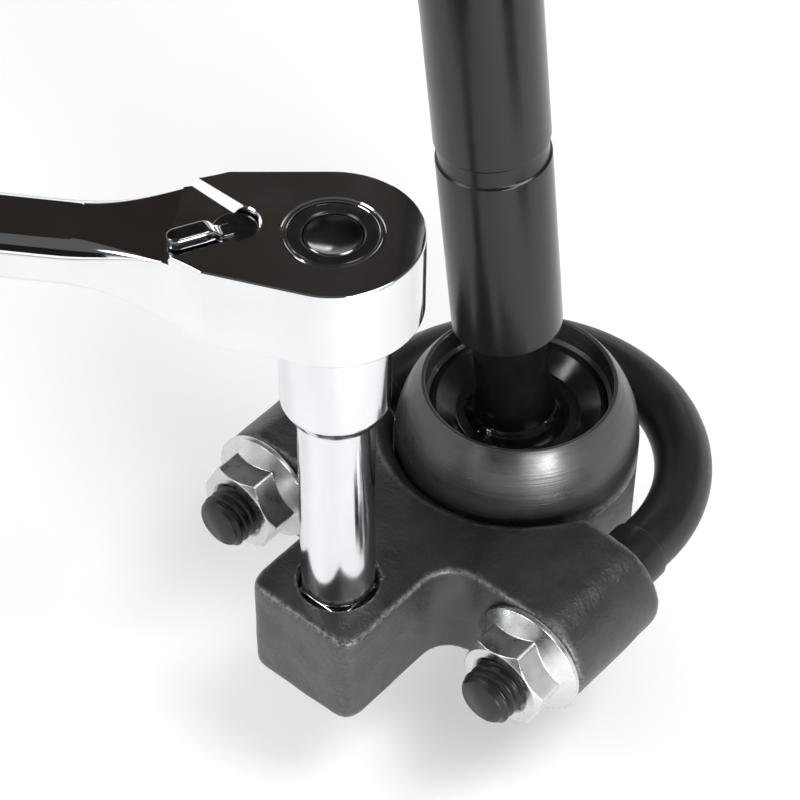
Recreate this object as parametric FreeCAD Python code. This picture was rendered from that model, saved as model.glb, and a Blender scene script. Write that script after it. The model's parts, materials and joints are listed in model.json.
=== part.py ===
import FreeCAD, Part
import math
import os

# A clamp-type wrench for inner tie rods, closed on a ball-joint housing and driven by a ratchet
# through an extension bar.  Millimetres, +Z up.  The origin is on the housing's axis, where its
# lower face seats on the steering rack.  +Y runs from the drive axis towards the housing's axis.

os.makedirs("parts", exist_ok=True)

V = FreeCAD.Vector
ORIGIN = V(0, 0, 0)
RIGHT = V(1, 0, 0)
BACK = V(0, 1, 0)
UP = V(0, 0, 1)

# ---- driving dimensions -----------------------------------------------------------------------
RUN = 0.05                # radial running clearance
PAST = 1.0                # how far a cut runs past the face that it opens
LEG_Z = 22.0              # height of the clamp bolt's legs above the rack face
LEG_X = 37.8              # half the spacing of the legs
THREAD_R = 6.35           # half-inch thread, drawn at its outer diameter
DRIVE_Y = -61.1           # drive axis in front of the housing's axis
SQUARE = 12.7             # half-inch drive
SQUARE_HOLE = 12.9
SQUARE_CORNER_R = 8.3     # the drive squares are rounded to this across their corners

# jaw casting
BOSS_R = 13.2
CAST_TOP = LEG_Z + BOSS_R
CAST_LOW = LEG_Z - BOSS_R
BOSS_BORE_R = 6.9
NOSE_HALF = 14.3
NOSE_FRONT = -74.6
NOSE_CORNER_R = 4.0
INNER_CORNER_R = 6.0
ARM_FRONT = -42.0
ARM_BACK = -12.7
JAW_R = 28.0
CAST_EDGE_R = 1.8
RECESS_R = 8.7
RECESS_DEPTH = 5.0

# clamp bolt
ROD_R = 6.6
ROD_ARC_Y = 1.0
COLLAR_R = 7.3
COLLAR_FRONT = ARM_BACK + 0.6
COLLAR_BACK = -3.0
COLLAR_EDGE_R = 0.8
THREAD_FRONT = -58.8
THREAD_BACK = -13.6
THREAD_CHAMFER = 1.1

# flange nuts
NUT_FLATS = 19.05
NUT_HEIGHT = 10.7
CROWN_DROP = 2.2          # the crown's cone, down from the nut's outer face
CROWN_IN = 1.6            # and inwards and outwards from the hexagon's corners
CROWN_OUT = 1.0
FLANGE_R = 13.4
FLANGE_EDGE = 1.6
FLANGE_ROOT = 4.4
FLANGE_ROOT_IN = 1.2
NUT_TURN_LEFT = 5.0
NUT_TURN_RIGHT = 12.0

# extension bar
BAR_R = 7.9
BAR_LOW = LEG_Z + 10.6
BAR_END = (5.9, -0.6)     # rounded lower end, as (radius, height above BAR_LOW)
BAR_END_MID = (7.3, 0.6)
BAR_END_TOP = 3.4
BAR_SOCKET_R = 11.1
BAR_CONE_R = 9.5
BAR_CONE_LOW = LEG_Z + 66.2
BAR_CONE_TOP = LEG_Z + 69.5
BAR_TOP = LEG_Z + 94.2
BAR_EDGE = 0.6
BAR_MALE = 12.0
BAR_MALE_CHAMFER = 0.9
BAR_SOCKET_DEPTH = 13.0

# detents
BALL_R = 2.0
BALL_X = SQUARE / 2 + RUN - BALL_R
EXT_BALL_Z = BAR_LOW - 6.5
EXT_POCKET_X = -1.0
EXT_SPRING_WIRE = 0.25
EXT_SPRING_R = 1.5
EXT_SPRING_TURNS = 4
EXT_SPRING_CUP = 0.35     # how far the spring reaches round the ball
HAIR = 0.01               # keeps two faces that rest on each other apart

# ratchet: heights inside it are from its mid-plane, and distances along it from the drive axis
HEAD_LOW = LEG_Z + 94.3
HEAD_HIGH = 18.4
HEAD_MID = HEAD_LOW + HEAD_HIGH / 2
TOP = HEAD_HIGH / 2
HEAD_R = 17.4
HEAD_TURN = 212.3         # direction of the handle about the drive axis
CORNER = (22.3, 14.2)
NECK_BEND = (32.5, 9.9)
NECK_S = 46.0
HANDLE_HALF = 8.2
HANDLE_FLARE = 1.6
HANDLE_DEEP = 5.8
HANDLE_END = 232.0
TAIL_ROUND = 14.0
TAIL_TAPER = 12.0
STEP_Z = 2.0              # the lever's floor below the head's top face
FLOOR = TOP - STEP_Z
STEP_APEX = 12.8
STEP_SLOPE = 0.69
STEP_END = 40.0
HEAD_BACK_S = 29.9        # where the head's top ends
RAMP_S = 30.0             # and the ramp down to the handle starts
RAMP_MID = (38.0, 0.35)
BELLY_S = CORNER[0] - 1   # where the underside starts to rise
BELLY_MID = (34.5, 1.5)
SLIM_S = NECK_S + 2
SIDE_MARGIN = 2.0
SIDE_HALF = 30.0

# cover
COVER_THICK = 2.2
COVER_NOSE = 16.2
COVER_SIDE = 15.7
COVER_END = 23.4
COVER_END_HALF = 9.0
COVER_EAR = (20.4, 12.4)
COVER_EAR_BEND = (0.6, 1.6)
SCREW_PLACES = [(20.4, 9.6), (20.4, -9.6), (-13.7, 0)]
SCREW_R = 1.25
SCREW_HEAD_R = 2.3
SCREW_SINK = 1.1
SCREW_LONG = 8.0
SCREW_HOLE_LONG = 8.4
SCREW_KEY_R = 0.75
SCREW_KEY_DEEP = 1.2

# drive gear
GEAR_TEETH = 36
GEAR_R = 11.2
GEAR_ROOT_R = 10.4
TOOTH = ((0.0, GEAR_ROOT_R), (0.32, GEAR_R), (0.52, GEAR_R), (0.84, GEAR_ROOT_R))
GEAR_LOW = -6.6
GEAR_HIGH = 6.2
GEAR_GAP = 0.2            # above the teeth
GEAR_POCKET_R = 11.6
JOURNAL_R = 9.5
JOURNAL_SINK = 0.1
DRIVE_LOW = -TOP - 10.6
DRIVE_CHAMFER = 0.8
DRIVE_ROOT = 0.5
BALL_Z = -TOP - 6.2

# release button, its bezel and its spring
BEZEL_R = 8.6
BEZEL_SEAT = 1.9          # depths below the head's top face
BEZEL_LOW = 1.85
BEZEL_EDGE = 0.35
BEZEL_CROWN = 0.15
BUTTON_R = 5.7
BUTTON_TOP = TOP - 0.5
BUTTON_CHAMFER = 0.4
BUTTON_FLANGE_R = 7.0
BUTTON_FLANGE_LOW = 4.6
BUTTON_FLANGE_TOP = 6.6
DISH_R = 22.0
DISH_DEEP = 0.65
PIN_R = 1.5
PIN_PAST_BALL = 1.2
PIN_ROOM = 4.0
SPRING_FLOOR = 0.5
RELEASE_WIRE = 0.45
RELEASE_COIL_R = 4.6
RELEASE_TURNS = 3
SPRING_GAP = 0.02

# pawl
PAWL_LOW = -5.8
PAWL_HIGH = 3.2
PAWL_HALF = 7.4
PAWL_FRONT = 9.0
PAWL_LIFT = 0.08          # off the teeth, as at the top of a click
PAWL_BACK_GAP = 0.25
PAWL_TURN = 3.0
PAWL_ROOM_FRONT = 5.0
PAWL_ROOM_BACK = 14.6
PAWL_ROOM_BEND = (19.3, 6.6)
PAWL_ROOM_END = 21.9
PAWL_ROOM_HALF = 8.2
PAWL_ROOM_TOP = 3.6

# reversing lever
LEVER_S = 18.5
LEVER_TURN = 31.0
LEVER_R = 4.5
LEVER_LOW = FLOOR - 2.3
LEVER_SINK = 0.6
LEVER_POCKET_R = 4.8
LEVER_POCKET_LOW = FLOOR - 2.4
LEVER_STEM_R = 3.4
LEVER_STEM_GAP = 0.2      # between the stem and the cover
TAB_START = 1.0
TAB_END = 13.4
TAB_HALF = 2.1
TAB_LOW = FLOOR + 0.3
TAB_TOP = TOP + 1.3
TAB_EDGE_R = 0.8
PLUNGER_R = 1.4
PLUNGER_Z = -1.3
PLUNGER_BORE_END = 2.3
PLUNGER_BORE_LONG = 10.0
PLUNGER_TIP = -LEVER_STEM_R - 0.12
PLUNGER_TIP_EDGE = 0.8
PLUNGER_TAIL = -1.2
PAWL_SPRING_WIRE = 0.2
PAWL_SPRING_R = 1.0
PAWL_SPRING_TURNS = 5

# ball-joint housing
CENTRE_Z = LEG_Z + 9.2    # centre of the housing's round flank and of the ball
HOUSING_R = 27.7
HOUSING_FOOT = (2.5, 2.0)
MOUTH_Z = LEG_Z + 26.3
MOUTH_R = 20.9
RACE_BORE_R = 20.0
RACE_TOP = LEG_Z + 20.6
RACE_TOP_EDGE = 0.6
RACE_SEAT = CENTRE_Z + 4
CAVITY_R = 18.0
CAVITY_FLOOR = LEG_Z - 9.4
FLAT_X = 24.0
FLAT_TOP = LEG_Z + 4.5
FLAT_CUT = (20.0, 80.0)
STUD_R = 7.0
STUD_LONG = 18.0
STUD_CHAMFER = 1.2

# race, seat and preload spring
RACE_LOW = RACE_SEAT + RUN
RACE_HIGH = RACE_TOP - 0.7
RACE_LIP = 1.6
RACE_CONE_R = 13.4
RACE_CONE_RISE = 3.0
RACE_BLANK_R = 8.0
SEAT_LOW = CAVITY_FLOOR + 1.2
SEAT_HIGH = CENTRE_Z + 3.9
PRELOAD_OUTER_R = CAVITY_R - 0.5
PRELOAD_INNER_R = 6.0
PRELOAD_THICK = 0.5
PRELOAD_RISE = (0.7, 1.18)

# tie rod: heights are along it, from the ball's centre
BALL_JOINT_R = 13.5
NECK_R = 8.2
NECK_FOOT = 1.5           # how far the neck widens where it meets the ball
NECK_FOOT_MID = (0.5, 1.1)
NECK_FOOT_HIGH = 3.0
SHANK_R = 12.1
SHANK_LOW = 34.8
SHANK_EDGE = (1.2, 1.6)
GROOVE_AT = 83.6
GROOVE_WIDE = 4.4
GROOVE_DEEP = 0.5
SHANK_HIGH = 232.0
TAIL_R = 8.0
TAIL_CONE = 3.0
TAIL_LONG = 46.0
TAIL_CHAMFER = 1.2
LEAN = 5.5                # lean of the tie rod from the housing's axis
LEAN_TOWARDS = 219.9      # compass of that lean, from +X towards +Y


# ---- small helpers ----------------------------------------------------------------------------
def save(name, shape):
    shape.exportStep("parts/" + name + ".step")


def cylinder(radius, low, high, at=(0, 0)):
    return Part.makeCylinder(radius, high - low, V(at[0], at[1], low), UP)


def leg_cylinder(radius, front, back, side):
    """A cylinder along one of the clamp bolt's legs, between two places in Y."""
    return Part.makeCylinder(radius, back - front, V(side * LEG_X, front, LEG_Z), BACK)


def box(size_x, size_y, low, high, at=(0, 0)):
    corner = V(at[0] - size_x / 2, at[1] - size_y / 2, low)
    return Part.makeBox(size_x, size_y, high - low, corner)


def outline(start, steps, place):
    """A closed wire.  A step is the next point, or a pair (point on the arc, next point)."""
    edges = []
    here = start
    for step in list(steps) + [start]:
        if isinstance(step[0], tuple):
            edges.append(Part.Arc(place(here), place(step[0]), place(step[1])).toShape())
            here = step[1]
        elif step != here:
            edges.append(Part.LineSegment(place(here), place(step)).toShape())
            here = step
    return Part.Wire(edges)


def turned(start, steps):
    """A solid of revolution about +Z, from its half section in (radius, height)."""
    wire = outline(start, steps, lambda p: V(p[0], 0, p[1]))
    return Part.Face(wire).revolve(ORIGIN, UP, 360)


def plate(start, steps, low, high):
    wire = outline(start, steps, lambda p: V(p[0], p[1], low))
    return Part.Face(wire).extrude(V(0, 0, high - low))


def hexagon(corner_r, turn, low, high):
    angles = [math.radians(turn + 60 * i) for i in range(6)]
    corners = [(corner_r * math.cos(a), corner_r * math.sin(a)) for a in angles]
    return plate(corners[0], corners[1:], low, high)


def coil(wire_r, coil_r, turns, low, high):
    """A round-wire compression spring about +Z between two heights."""
    pitch = (high - low - 2 * wire_r) / turns
    path = Part.makeHelix(pitch, pitch * turns, coil_r)
    ring = Part.Wire(Part.makeCircle(wire_r, V(coil_r, 0, 0), BACK))
    shape = Part.Wire(path).makePipeShell([ring], True, True)
    shape.translate(V(0, 0, low + wire_r))
    return shape


def middle(edge):
    return edge.valueAt((edge.FirstParameter + edge.LastParameter) / 2)


def near(value, target, slack=0.01):
    return abs(value - target) < slack


def is_upright(edge):
    low, high = edge.valueAt(edge.FirstParameter), edge.valueAt(edge.LastParameter)
    return near(low.x, high.x) and near(low.y, high.y) and not near(low.z, high.z)


def rounded(shape, radius, wanted):
    """Fillet the edges whose mid-point passes the test."""
    chosen = [edge for edge in shape.Edges if wanted(middle(edge), edge)]
    return shape.makeFillet(radius, chosen)


def chamfered_at(shape, width, height):
    """Chamfer the edges that lie at one height."""
    return shape.makeChamfer(width, [edge for edge in shape.Edges if near(middle(edge).z, height)])


# ---- the clamp --------------------------------------------------------------------------------
def jaw_casting():
    jaw_x = math.sqrt(JAW_R ** 2 - ARM_BACK ** 2)
    steps = [(NOSE_HALF, NOSE_FRONT), (NOSE_HALF, ARM_FRONT), (LEG_X, ARM_FRONT), (LEG_X, ARM_BACK),
             (jaw_x, ARM_BACK), ((0, -JAW_R), (-jaw_x, ARM_BACK)), (-LEG_X, ARM_BACK),
             (-LEG_X, ARM_FRONT), (-NOSE_HALF, ARM_FRONT)]
    body = plate((-NOSE_HALF, NOSE_FRONT), steps, CAST_LOW, CAST_TOP)

    def nose_corner(p, edge):
        return is_upright(edge) and near(p.y, NOSE_FRONT)

    def inner_corner(p, edge):
        return is_upright(edge) and near(abs(p.x), NOSE_HALF) and near(p.y, ARM_FRONT)

    body = rounded(body, NOSE_CORNER_R, nose_corner)
    body = rounded(body, INNER_CORNER_R, inner_corner)
    jaw = cylinder(JAW_R, CAST_LOW - PAST, CAST_TOP + PAST)
    for side in (-1, 1):
        boss = leg_cylinder(BOSS_R, ARM_FRONT, ARM_BACK, side)
        body = body.fuse(boss.cut(jaw))
    body = body.removeSplitter()

    def rim(p, edge):
        on_face = near(p.z, CAST_TOP) or near(p.z, CAST_LOW)
        blend_line = near(abs(p.x), LEG_X) and on_face
        on_boss_end = abs(p.x) > LEG_X + 1 and (near(p.y, ARM_FRONT) or near(p.y, ARM_BACK))
        return (on_face and not blend_line) or on_boss_end

    body = rounded(body, CAST_EDGE_R, rim)
    for side in (-1, 1):
        body = body.cut(leg_cylinder(BOSS_BORE_R, ARM_FRONT - PAST, ARM_BACK + PAST, side))
    recess = cylinder(RECESS_R, CAST_TOP - RECESS_DEPTH, CAST_TOP + PAST, (0, DRIVE_Y))
    hole = box(SQUARE_HOLE, SQUARE_HOLE, CAST_LOW - PAST, CAST_TOP, (0, DRIVE_Y))
    return body.cut(recess).cut(hole)


def u_bolt():
    section = Part.Face(Part.Wire(Part.makeCircle(ROD_R, V(LEG_X, ROD_ARC_Y, LEG_Z), BACK)))
    body = section.revolve(V(0, ROD_ARC_Y, LEG_Z), UP, 180)
    for side in (-1, 1):
        thread = leg_cylinder(THREAD_R, THREAD_FRONT, THREAD_BACK, side)
        tip = [edge for edge in thread.Edges if near(middle(edge).y, THREAD_FRONT)]
        thread = thread.makeChamfer(THREAD_CHAMFER, tip)
        plain = leg_cylinder(ROD_R, THREAD_BACK, ROD_ARC_Y, side)
        collar = leg_cylinder(COLLAR_R, COLLAR_FRONT, COLLAR_BACK, side)
        end = [edge for edge in collar.Edges if near(middle(edge).y, COLLAR_BACK)]
        collar = collar.makeFillet(COLLAR_EDGE_R, end)
        body = body.fuse([thread, plain, collar])
    return body.removeSplitter()


def flange_nut(side, turn):
    corner_r = NUT_FLATS / math.sqrt(3)
    crown = turned((0, 0), [(corner_r + CROWN_OUT, 0), (corner_r + CROWN_OUT, NUT_HEIGHT - CROWN_DROP),
                            (corner_r - CROWN_IN, NUT_HEIGHT), (0, NUT_HEIGHT)])
    flange = turned((0, 0), [(FLANGE_R, 0), (FLANGE_R, FLANGE_EDGE), (corner_r - FLANGE_ROOT_IN, FLANGE_ROOT),
                             (0, FLANGE_ROOT)])
    bore = cylinder(THREAD_R + RUN, -PAST, NUT_HEIGHT + PAST)
    nut = hexagon(corner_r, turn, 0, NUT_HEIGHT).common(crown).fuse(flange).cut(bore)
    nut.rotate(ORIGIN, RIGHT, 90)
    nut.translate(V(side * LEG_X, ARM_FRONT - RUN, LEG_Z))
    return nut


# ---- the extension bar ------------------------------------------------------------------------
def drive_square(low, high, chamfer):
    """A half-inch square with its tip chamfered and its corners rounded."""
    square = chamfered_at(box(SQUARE, SQUARE, low, high), chamfer, low)
    return square.common(cylinder(SQUARE_CORNER_R, low - PAST, high + PAST))


def extension_bar():
    end = (BAR_END[0], BAR_LOW + BAR_END[1])
    end_mid = (BAR_END_MID[0], BAR_LOW + BAR_END_MID[1])
    body = turned((0, end[1]), [end, (end_mid, (BAR_R, BAR_LOW + BAR_END_TOP)), (BAR_R, BAR_CONE_LOW),
                                (BAR_CONE_R, BAR_CONE_LOW), (BAR_SOCKET_R, BAR_CONE_TOP),
                                (BAR_SOCKET_R, BAR_TOP - BAR_EDGE), (BAR_SOCKET_R - BAR_EDGE, BAR_TOP),
                                (0, BAR_TOP)])
    body = body.cut(box(SQUARE_HOLE, SQUARE_HOLE, BAR_TOP - BAR_SOCKET_DEPTH, BAR_TOP + PAST))
    tip = BAR_LOW - BAR_MALE
    body = body.fuse(drive_square(tip, BAR_LOW + PAST, BAR_MALE_CHAMFER)).removeSplitter()
    pocket = Part.makeCylinder(BALL_R + RUN, SQUARE, V(EXT_POCKET_X, 0, EXT_BALL_Z), RIGHT)
    body = body.cut(pocket)
    body.translate(V(0, DRIVE_Y, 0))
    return body


def extension_detent_ball():
    return Part.makeSphere(BALL_R, V(BALL_X, DRIVE_Y, EXT_BALL_Z))


def extension_detent_spring():
    length = BALL_X - BALL_R - EXT_POCKET_X + EXT_SPRING_CUP
    spring = coil(EXT_SPRING_WIRE, EXT_SPRING_R, EXT_SPRING_TURNS, 0, length)
    spring.rotate(ORIGIN, BACK, 90)
    spring.translate(V(EXT_POCKET_X + HAIR, DRIVE_Y, EXT_BALL_Z))
    return spring


# ---- the ratchet, built about its own mid-plane with the handle along +X ----------------------
def centred(shape):
    """For what turns with the drive square, which stays in line with the extension's."""
    shape.translate(V(0, DRIVE_Y, HEAD_MID))
    return shape


def placed(shape):
    """For what turns with the handle."""
    shape.rotate(ORIGIN, UP, HEAD_TURN)
    return centred(shape)


def on_lever(shape):
    """For what turns with the reversing lever."""
    shape.rotate(ORIGIN, UP, LEVER_TURN)
    shape.translate(V(LEVER_S, 0, 0))
    return placed(shape)


def mirrored(point):
    return (point[0], -point[1])


def head_outline(low, high):
    reach = math.hypot(*CORNER)
    angle = math.atan2(CORNER[1], CORNER[0]) + math.acos(HEAD_R / reach)
    touch = (HEAD_R * math.cos(angle), HEAD_R * math.sin(angle))
    neck = (NECK_S, HANDLE_HALF)
    tail = (HANDLE_END - TAIL_ROUND, HANDLE_HALF + HANDLE_FLARE)
    steps = [((-HEAD_R, 0), mirrored(touch)), mirrored(CORNER), (mirrored(NECK_BEND), mirrored(neck)),
             mirrored(tail), ((HANDLE_END, 0), tail), neck, (NECK_BEND, CORNER)]
    return plate(touch, steps, low, high)


def side_outline():
    """The ratchet seen from the side: a deep head, then a slimmer handle."""
    nose_s = -HEAD_R - SIDE_MARGIN
    taper_s = HANDLE_END - TAIL_TAPER
    belly_mid = (BELLY_MID[0], -TOP + BELLY_MID[1])
    ramp_mid = (RAMP_MID[0], HANDLE_DEEP + RAMP_MID[1])
    steps = [(BELLY_S, -TOP), (belly_mid, (SLIM_S, -HANDLE_DEEP)), (taper_s, -HANDLE_DEEP),
             ((HANDLE_END + PAST, 0), (taper_s, HANDLE_DEEP)), (SLIM_S, HANDLE_DEEP),
             (ramp_mid, (RAMP_S, FLOOR)), (HEAD_BACK_S, TOP), (nose_s, TOP)]
    wire = outline((nose_s, -TOP), steps, lambda p: V(p[0], -SIDE_HALF, p[1]))
    return Part.Face(wire).extrude(V(0, 2 * SIDE_HALF, 0))


def lever_notch():
    wide = (STEP_END - STEP_APEX) * STEP_SLOPE
    return plate((STEP_APEX, 0), [(STEP_END, wide), (STEP_END, -wide)], FLOOR, TOP + PAST)


def pawl_room(low, high):
    back = (PAWL_ROOM_BACK, PAWL_ROOM_HALF)
    end = (PAWL_ROOM_END, 0)
    steps = [mirrored(back), (mirrored(PAWL_ROOM_BEND), end), (PAWL_ROOM_BEND, back),
             (PAWL_ROOM_FRONT, PAWL_ROOM_HALF)]
    return plate((PAWL_ROOM_FRONT, -PAWL_ROOM_HALF), steps, low, high)


def cover_outline(low, high, gap=0.0):
    side = COVER_SIDE - gap
    end = COVER_END - gap
    ear = (COVER_EAR[0], COVER_EAR[1] - gap)
    bend = (end - COVER_EAR_BEND[0], ear[1] - COVER_EAR_BEND[1])
    corner = (end, COVER_END_HALF)
    steps = [((-COVER_NOSE + gap, 0), (0, -side)), mirrored(ear), (mirrored(bend), mirrored(corner)), corner,
             (bend, ear)]
    return plate((0, side), steps, low, high)


def ratchet_body():
    body = head_outline(-TOP, TOP).common(side_outline())
    body = body.cut(lever_notch())
    for room in (cylinder(GEAR_POCKET_R, -TOP - PAST, GEAR_HIGH + GEAR_GAP),
                 cylinder(JOURNAL_R + RUN, 0, TOP + PAST),
                 pawl_room(-TOP - PAST, PAWL_ROOM_TOP),
                 cylinder(LEVER_STEM_R + RUN, 0, TOP, (LEVER_S, 0)),
                 cylinder(LEVER_POCKET_R, LEVER_POCKET_LOW, TOP + PAST, (LEVER_S, 0)),
                 cover_outline(-TOP - PAST, -TOP + COVER_THICK)):
        body = body.cut(room)
    for place in SCREW_PLACES:
        body = body.cut(cylinder(SCREW_R, -TOP, -TOP + SCREW_HOLE_LONG, place))
    return placed(body)


def ratchet_cover():
    inner_face = -TOP + COVER_THICK
    body = cover_outline(-TOP, inner_face - RUN, RUN)
    body = body.cut(cylinder(JOURNAL_R + RUN, -TOP - PAST, inner_face + PAST))
    for place in SCREW_PLACES:
        sink = turned((0, -TOP - HAIR), [(SCREW_HEAD_R + RUN, -TOP - HAIR),
                                         (SCREW_R + RUN, -TOP + SCREW_SINK),
                                         (SCREW_R + RUN, inner_face + PAST), (0, inner_face + PAST)])
        sink.translate(V(place[0], place[1], 0))
        body = body.cut(sink)
    return placed(body)


def cover_screws():
    head = -TOP + RUN
    screws = []
    for place in SCREW_PLACES:
        screw = turned((0, head), [(SCREW_HEAD_R, head), (SCREW_R, -TOP + SCREW_SINK),
                                   (SCREW_R, -TOP + SCREW_LONG), (0, -TOP + SCREW_LONG)])
        screw = screw.cut(hexagon(SCREW_KEY_R, 0, -TOP - PAST, -TOP + SCREW_KEY_DEEP))
        screw.translate(V(place[0], place[1], 0))
        screws.append(screw)
    return placed(Part.makeCompound(screws))


def gear_teeth(low, high):
    points = []
    for i in range(GEAR_TEETH):
        for step, radius in TOOTH:
            angle = 2 * math.pi * (i + step) / GEAR_TEETH
            points.append((radius * math.cos(angle), radius * math.sin(angle)))
    return plate(points[0], points[1:], low, high)


def drive_gear():
    body = gear_teeth(GEAR_LOW, GEAR_HIGH)
    body = body.fuse(cylinder(JOURNAL_R, -TOP, TOP - JOURNAL_SINK))
    body = body.fuse(drive_square(DRIVE_LOW, -TOP + DRIVE_ROOT, DRIVE_CHAMFER)).removeSplitter()
    for room in (cylinder(BEZEL_R + RUN, TOP - BEZEL_SEAT, TOP + PAST),
                 cylinder(BUTTON_FLANGE_R + RUN, SPRING_FLOOR, TOP),
                 cylinder(PIN_R + RUN, BALL_Z - PIN_ROOM, TOP),
                 Part.makeCylinder(BALL_R + RUN, SQUARE, V(0, 0, BALL_Z), RIGHT)):
        body = body.cut(room)
    return centred(body)


def button_bezel():
    low = BUTTON_FLANGE_TOP + RUN
    inner_r = BUTTON_R + RUN
    skirt_r = BUTTON_FLANGE_R - 2 * RUN
    body = turned((inner_r, low), [(skirt_r, low), (skirt_r, TOP - BEZEL_LOW), (BEZEL_R, TOP - BEZEL_LOW),
                                   (BEZEL_R, TOP - BEZEL_EDGE), (BUTTON_R + BEZEL_EDGE, TOP - BEZEL_CROWN),
                                   (inner_r, TOP - BEZEL_EDGE)])
    return centred(body)


def release_button():
    pin_low = BALL_Z - PIN_PAST_BALL
    body = turned((0, pin_low), [(PIN_R, pin_low), (PIN_R, BUTTON_FLANGE_LOW),
                                 (BUTTON_FLANGE_R, BUTTON_FLANGE_LOW), (BUTTON_FLANGE_R, BUTTON_FLANGE_TOP),
                                 (BUTTON_R, BUTTON_FLANGE_TOP), (BUTTON_R, BUTTON_TOP - BUTTON_CHAMFER),
                                 (BUTTON_R - BUTTON_CHAMFER, BUTTON_TOP), (0, BUTTON_TOP)])
    body = body.cut(Part.makeSphere(DISH_R, V(0, 0, BUTTON_TOP + DISH_R - DISH_DEEP)))
    return centred(body)


def release_spring():
    low = SPRING_FLOOR + SPRING_GAP
    high = BUTTON_FLANGE_LOW - SPRING_GAP
    return centred(coil(RELEASE_WIRE, RELEASE_COIL_R, RELEASE_TURNS, low, high))


def drive_ball():
    return centred(Part.makeSphere(BALL_R, V(BALL_X, 0, BALL_Z)))


def pawl():
    outer = LEVER_S - LEVER_STEM_R - PAWL_BACK_GAP
    blank = plate((PAWL_FRONT, -PAWL_HALF), [((outer, 0), (PAWL_FRONT, PAWL_HALF))], PAWL_LOW, PAWL_HIGH)
    blank = blank.cut(cylinder(GEAR_R + PAWL_LIFT, PAWL_LOW - PAST, PAWL_HIGH + PAST))
    blank.rotate(ORIGIN, UP, PAWL_TURN)
    return placed(blank)


def reversing_lever():
    body = cylinder(LEVER_R, LEVER_LOW, TOP - LEVER_SINK)
    body = body.fuse(cylinder(LEVER_STEM_R, -TOP + COVER_THICK + LEVER_STEM_GAP, FLOOR))
    shoulder = TAB_END - TAB_HALF
    tab = plate((TAB_START, -TAB_HALF), [(shoulder, -TAB_HALF), ((TAB_END, 0), (shoulder, TAB_HALF)),
                                         (TAB_START, TAB_HALF)], TAB_LOW, TAB_TOP)
    tab = rounded(tab, TAB_EDGE_R, lambda p, edge: near(p.z, TAB_TOP))
    body = body.fuse(tab).removeSplitter()
    bore = Part.makeCylinder(PLUNGER_R + RUN, PLUNGER_BORE_LONG, V(PLUNGER_BORE_END, 0, PLUNGER_Z), -RIGHT)
    return on_lever(body.cut(bore))


def pawl_plunger():
    length = PLUNGER_TAIL - PLUNGER_TIP
    body = turned((0, 0), [(PLUNGER_R, 0), (PLUNGER_R, length - PLUNGER_TIP_EDGE),
                           (PLUNGER_R - PLUNGER_TIP_EDGE, length), (0, length)])
    body.rotate(ORIGIN, BACK, -90)
    body.translate(V(PLUNGER_TAIL, 0, PLUNGER_Z))
    return on_lever(body)


def pawl_spring():
    length = PLUNGER_BORE_END - PLUNGER_TAIL - 2 * SPRING_GAP
    spring = coil(PAWL_SPRING_WIRE, PAWL_SPRING_R, PAWL_SPRING_TURNS, 0, length)
    spring.rotate(ORIGIN, BACK, 90)
    spring.translate(V(PLUNGER_TAIL + SPRING_GAP, 0, PLUNGER_Z))
    return on_lever(spring)


# ---- the ball-joint housing and tie rod -------------------------------------------------------
def socket_housing():
    def flank(height):
        return math.sqrt(HOUSING_R ** 2 - (height - CENTRE_Z) ** 2)

    mid = (MOUTH_Z + CENTRE_Z) / 2
    body = turned((0, 0), [(HOUSING_R - HOUSING_FOOT[0], 0), (HOUSING_R, HOUSING_FOOT[1]),
                           (HOUSING_R, CENTRE_Z), ((flank(mid), mid), (flank(MOUTH_Z), MOUTH_Z)),
                           (MOUTH_R, MOUTH_Z), (MOUTH_R, RACE_TOP), (RACE_BORE_R, RACE_TOP - RACE_TOP_EDGE),
                           (RACE_BORE_R, RACE_SEAT), (CAVITY_R, RACE_SEAT), (CAVITY_R, CAVITY_FLOOR),
                           (0, CAVITY_FLOOR)])
    for side in (-1, 1):
        centre_x = side * (FLAT_X + FLAT_CUT[0] / 2)
        body = body.cut(box(FLAT_CUT[0], FLAT_CUT[1], -PAST, FLAT_TOP, (centre_x, 0)))
    stud = chamfered_at(cylinder(STUD_R, -STUD_LONG, PAST), STUD_CHAMFER, -STUD_LONG)
    return body.fuse(stud).removeSplitter()


def joint_ball(clearance=0.0):
    return Part.makeSphere(BALL_JOINT_R + clearance, V(0, 0, CENTRE_Z))


def ball_race():
    cone_low = RACE_LOW + RACE_CONE_RISE
    body = turned((RACE_BLANK_R, RACE_LOW), [(RACE_BORE_R, RACE_LOW), (RACE_BORE_R, RACE_HIGH),
                                             (RACE_BORE_R - RACE_LIP, RACE_HIGH), (RACE_CONE_R, cone_low),
                                             (RACE_BLANK_R, cone_low)])
    return body.cut(joint_ball(RUN))


def ball_seat():
    body = cylinder(CAVITY_R - RUN, SEAT_LOW, SEAT_HIGH)
    body = body.cut(joint_ball(RUN))
    return body.cut(cylinder(BALL_JOINT_R + RUN, CENTRE_Z, SEAT_HIGH + PAST))


def preload_spring():
    """A coned disc between the housing's floor and the seat."""
    return turned((PRELOAD_INNER_R, CAVITY_FLOOR + PRELOAD_RISE[0]),
                  [(PRELOAD_OUTER_R, CAVITY_FLOOR), (PRELOAD_OUTER_R, CAVITY_FLOOR + PRELOAD_THICK),
                   (PRELOAD_INNER_R, CAVITY_FLOOR + PRELOAD_RISE[1])])


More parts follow.
